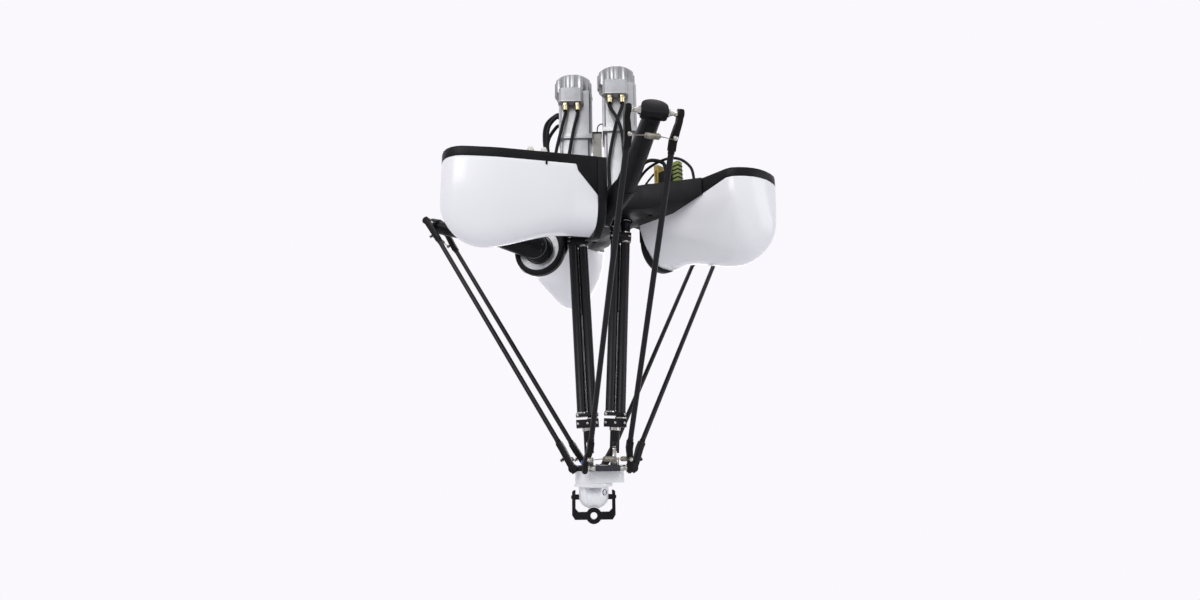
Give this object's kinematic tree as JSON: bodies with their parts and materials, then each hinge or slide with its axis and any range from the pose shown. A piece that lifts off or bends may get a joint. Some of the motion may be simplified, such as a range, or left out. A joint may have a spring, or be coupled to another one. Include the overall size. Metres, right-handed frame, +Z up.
{
  "type": "delta robot",
  "caption": "Hanging delta robot: moulded motor covers, upper arms, carbon rod pairs with spring-held ball ends, telescopic drive shafts and a turning, tilting wrist.",
  "frame": {"origin": "centre of the three mounting holes, in the plane of the mounting pads", "axes": "+Z up out of the mounting pads, -Y along the front upper arm"},
  "size_m": [1.0348, 1.0741, 1.3278],
  "materials": {
    "frame_paint": "satin",
    "white_shell": "gloss",
    "black_shell": "satin",
    "boot_rubber": "matte",
    "arm_black": "satin",
    "rod_end_black": "satin",
    "carbon_tube": "satin",
    "stud_steel": "polished",
    "spring_steel": "polished",
    "cast_alloy": "cast",
    "bright_cap": "machined",
    "gland_brass": "polished",
    "box_grey": "satin",
    "vent_plastic": "satin",
    "terminal_black": "satin",
    "clip_yellow": "satin",
    "plug_green": "satin",
    "cable_black": "satin",
    "plate_anodised": "anodised",
    "fitting_blue": "gloss"
  },
  "bodies": {
    "base": {"base_frame": "frame_paint", "shroud_a": "black_shell", "shroud_b": "black_shell", "shroud_c": "black_shell", "cover_a": "white_shell", "cover_b": "white_shell", "cover_c": "white_shell", "arm_drive_a": "cast_alloy", "arm_drive_b": "cast_alloy", "arm_drive_c": "cast_alloy", "wrist_drive_left": "cast_alloy", "wrist_drive_right": "cast_alloy", "wrist_motor_left": "cast_alloy", "wrist_motor_right": "cast_alloy", "motor_cap_left": "bright_cap", "motor_cap_right": "bright_cap", "connector_box_left": "cast_alloy", "connector_box_right": "cast_alloy", "cable_glands": "gland_brass", "junction_box": "box_grey", "vent_cap": "vent_plastic", "terminal_block": "terminal_black", "terminal_clip": "clip_yellow", "striped_plug": "plug_green", "motor_cables_left": "cable_black", "motor_cables_right": "cable_black", "cable_bundle": "cable_black", "cable_harness": "cable_black"},
    "arm_a": {"upper_arm_a": "arm_black", "arm_studs_a": "stud_steel"},
    "arm_b": {"upper_arm_b": "arm_black", "arm_studs_b": "stud_steel"},
    "arm_c": {"upper_arm_c": "arm_black", "arm_studs_c": "stud_steel"},
    "rod_pair_a": {"rods_a": "carbon_tube", "rod_ends_a": "rod_end_black", "springs_a": "spring_steel", "platform_studs_a": "stud_steel"},
    "rod_pair_b": {"rods_b": "carbon_tube", "rod_ends_b": "rod_end_black", "springs_b": "spring_steel", "platform_studs_b": "stud_steel"},
    "rod_pair_c": {"rods_c": "carbon_tube", "rod_ends_c": "rod_end_black", "springs_c": "spring_steel", "platform_studs_c": "stud_steel"},
    "platform": {"platform_plate": "plate_anodised", "wrist_housing": "white_shell", "air_fitting": "fitting_blue"},
    "boot_left": {"joint_boot_left": "boot_rubber"},
    "shaft_upper_left": {"upper_shaft_left": "carbon_tube"},
    "shaft_lower_left": {"lower_shaft_left": "carbon_tube"},
    "wrist_input_left": {"wrist_input_left": "stud_steel"},
    "boot_right": {"joint_boot_right": "boot_rubber"},
    "shaft_upper_right": {"upper_shaft_right": "carbon_tube"},
    "shaft_lower_right": {"lower_shaft_right": "carbon_tube"},
    "wrist_input_right": {"wrist_input_right": "stud_steel"},
    "dome": {"wrist_dome": "white_shell"},
    "yoke": {"yoke": "arm_black"}
  },
  "joints": [
    {"name": "lift", "type": "hinge", "parent": "base", "child": "arm_a", "pos_m": [0, -0.21, -0.13], "axis": [1, 0, 0], "range_deg": [0, 32.54]},
    {"name": "arm_b_swing", "type": "hinge", "parent": "base", "child": "arm_b", "pos_m": [-0.18186, 0.105, -0.13], "axis": [-0.5, -0.866, 0], "range_deg": [0, 32.54]},
    {"name": "arm_c_swing", "type": "hinge", "parent": "base", "child": "arm_c", "pos_m": [0.18186, 0.105, -0.13], "axis": [-0.5, 0.866, 0], "range_deg": [0, 32.54]},
    {"name": "rods_a_swing", "type": "hinge", "parent": "arm_a", "child": "rod_pair_a", "pos_m": [0, -0.54752, -0.03149], "axis": [1, 0, 0], "range_deg": [-32.54, 0]},
    {"name": "rods_b_swing", "type": "hinge", "parent": "arm_b", "child": "rod_pair_b", "pos_m": [-0.47417, 0.27376, -0.03149], "axis": [-0.5, -0.866, 0], "range_deg": [-32.54, 0]},
    {"name": "rods_c_swing", "type": "hinge", "parent": "arm_c", "child": "rod_pair_c", "pos_m": [0.47417, 0.27376, -0.03149], "axis": [-0.5, 0.866, 0], "range_deg": [-32.54, 0]},
    {"name": "platform_lower", "type": "slide", "parent": "base", "child": "platform", "axis": [0, 0, -1], "range_m": [0, 0.19702]},
    {"name": "boot_left_tilt", "type": "hinge", "parent": "base", "child": "boot_left", "pos_m": [-0.06062, 0.035, -0.052], "axis": [0.5, 0.866, 0], "range_deg": [0, 0.6275]},
    {"name": "shaft_left_spin", "type": "hinge", "parent": "boot_left", "child": "shaft_upper_left", "pos_m": [-0.06062, 0.035, -0.052], "axis": [-0.0427, 0.0246, 0.9988], "range_deg": [-180, 180]},
    {"name": "shaft_left_slide", "type": "slide", "parent": "shaft_upper_left", "child": "shaft_lower_left", "axis": [0.0427, -0.0246, -0.9988], "range_m": [0, 0.19683]},
    {"name": "input_left_spin", "type": "hinge", "parent": "platform", "child": "wrist_input_left", "pos_m": [-0.03118, 0.018, -0.78904], "axis": [0, 0, 1], "range_deg": [-180, 180]},
    {"name": "boot_right_tilt", "type": "hinge", "parent": "base", "child": "boot_right", "pos_m": [0.06062, -0.035, -0.052], "axis": [0.5, 0.866, 0], "range_deg": [-0.6275, 0]},
    {"name": "shaft_right_spin", "type": "hinge", "parent": "boot_right", "child": "shaft_upper_right", "pos_m": [0.06062, -0.035, -0.052], "axis": [0.0427, -0.0246, 0.9988], "range_deg": [-75, 75]},
    {"name": "shaft_right_slide", "type": "slide", "parent": "shaft_upper_right", "child": "shaft_lower_right", "axis": [-0.0427, 0.0246, -0.9988], "range_m": [0, 0.19683]},
    {"name": "input_right_spin", "type": "hinge", "parent": "platform", "child": "wrist_input_right", "pos_m": [0.03118, -0.018, -0.78904], "axis": [0, 0, 1], "range_deg": [-75, 75]},
    {"name": "wrist_turn", "type": "hinge", "parent": "platform", "child": "dome", "pos_m": [-0.02079, 0.012, -0.86384], "axis": [0, 0, 1], "range_deg": [-180, 180]},
    {"name": "yoke_tilt", "type": "hinge", "parent": "dome", "child": "yoke", "pos_m": [-0.02079, 0.012, -0.86384], "axis": [0.9744, -0.225, 0], "range_deg": [-75, 75]}
  ],
  "couplings": [
    {"joint": "arm_b_swing", "follows": "lift", "ratio": 1},
    {"joint": "arm_c_swing", "follows": "lift", "ratio": 1},
    {"joint": "rods_a_swing", "follows": "lift", "ratio": -1},
    {"joint": "rods_b_swing", "follows": "lift", "ratio": -1},
    {"joint": "rods_c_swing", "follows": "lift", "ratio": -1},
    {"joint": "platform_lower", "follows": "lift", "m_per_rad": 0.34689},
    {"joint": "boot_left_tilt", "follows": "lift", "ratio": 0.019281},
    {"joint": "shaft_left_spin", "follows": "wrist_turn", "ratio": 1},
    {"joint": "shaft_left_slide", "follows": "lift", "m_per_rad": 0.34657},
    {"joint": "input_left_spin", "follows": "wrist_turn", "ratio": 1},
    {"joint": "boot_right_tilt", "follows": "lift", "ratio": -0.019281},
    {"joint": "shaft_right_spin", "follows": "yoke_tilt", "ratio": 1},
    {"joint": "shaft_right_slide", "follows": "lift", "m_per_rad": 0.34657},
    {"joint": "input_right_spin", "follows": "yoke_tilt", "ratio": 1}
  ]
}
